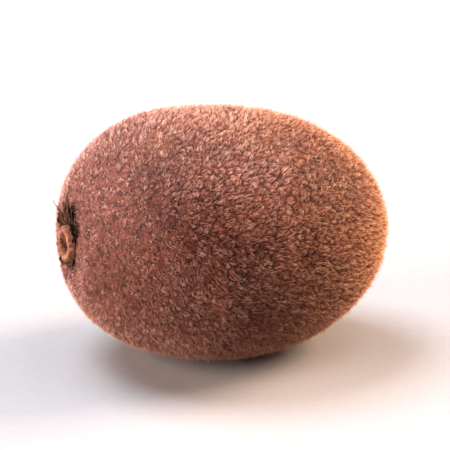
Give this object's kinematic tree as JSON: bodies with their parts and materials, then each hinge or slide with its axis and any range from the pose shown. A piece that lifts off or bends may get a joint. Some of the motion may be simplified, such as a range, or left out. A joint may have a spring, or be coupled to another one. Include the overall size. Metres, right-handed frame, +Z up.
{
  "type": "kiwi fruit",
  "caption": "Whole brown hairy-skinned kiwi fruit lying on its side, with a woody stem scar, dried sepals and a tuft of dried styles.",
  "frame": {"origin": "the middle of the whole box in X and Y, at the surface that the fruit lies on", "axes": "+X runs along the fruit from the stem end to the blossom end, +Z is up, and the fruit lies on its side"},
  "size_m": [0.0698, 0.0548, 0.0507],
  "materials": {
    "hairy_skin": "matte, short brown hairs",
    "woody_scar": "rough, unfinished",
    "dry_sepal": "dry, papery",
    "dry_style": "dry, brittle"
  },
  "bodies": {
    "root": {"fruit": "hairy_skin", "stem_scar": "woody_scar", "calyx": "dry_sepal", "style_tuft": "dry_style"}
  },
  "joints": []
}
